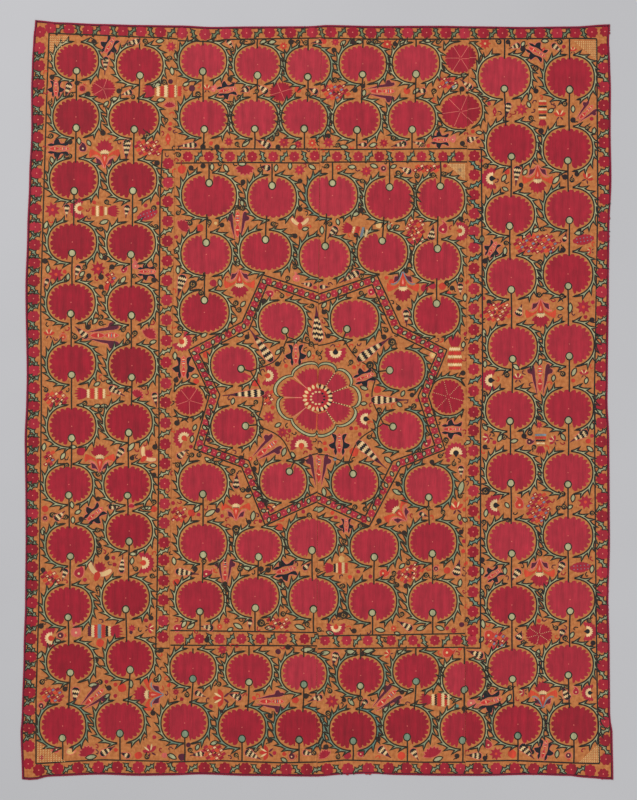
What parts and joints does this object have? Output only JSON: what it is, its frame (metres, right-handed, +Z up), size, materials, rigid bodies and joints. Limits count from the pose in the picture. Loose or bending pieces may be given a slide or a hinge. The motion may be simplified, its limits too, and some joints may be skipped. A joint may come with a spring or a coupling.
{
  "type": "suzani embroidered textile",
  "caption": "Large flat embroidered cloth of joined loom-width strips, edged all round with a narrow woven braid.",
  "frame": {"origin": "middle of the cloth's underside, on the surface that it lies on", "axes": "+Y along the cloth's long side towards the picture's top, +X across it to the picture's right, +Z up out of the embroidered face"},
  "size_m": [1.82, 2.333, 0.003],
  "materials": {
    "ground_cloth": "matt handwoven cotton and silk, dyed ochre and closely embroidered in silk",
    "crimson_silk": "couched silk floss, deep crimson with a soft satin sheen",
    "leaf_silk": "couched silk floss, pale celadon to blue green",
    "outline_silk": "chain-stitched silk, olive black to blue black",
    "plum_silk": "couched silk floss, dark plum",
    "orange_silk": "couched silk floss, orange red",
    "cream_silk": "couched silk floss, cream",
    "pink_silk": "chain-stitched silk, salmon pink",
    "edge_braid": "narrow woven silk braid, deep plum with a crimson rim"
  },
  "bodies": {
    "root": {"panel_1": "ground_cloth", "panel_2": "ground_cloth", "panel_3": "ground_cloth", "panel_4": "ground_cloth", "binding_left": "edge_braid", "binding_right": "edge_braid", "binding_top": "edge_braid", "binding_bottom": "edge_braid"}
  },
  "joints": []
}
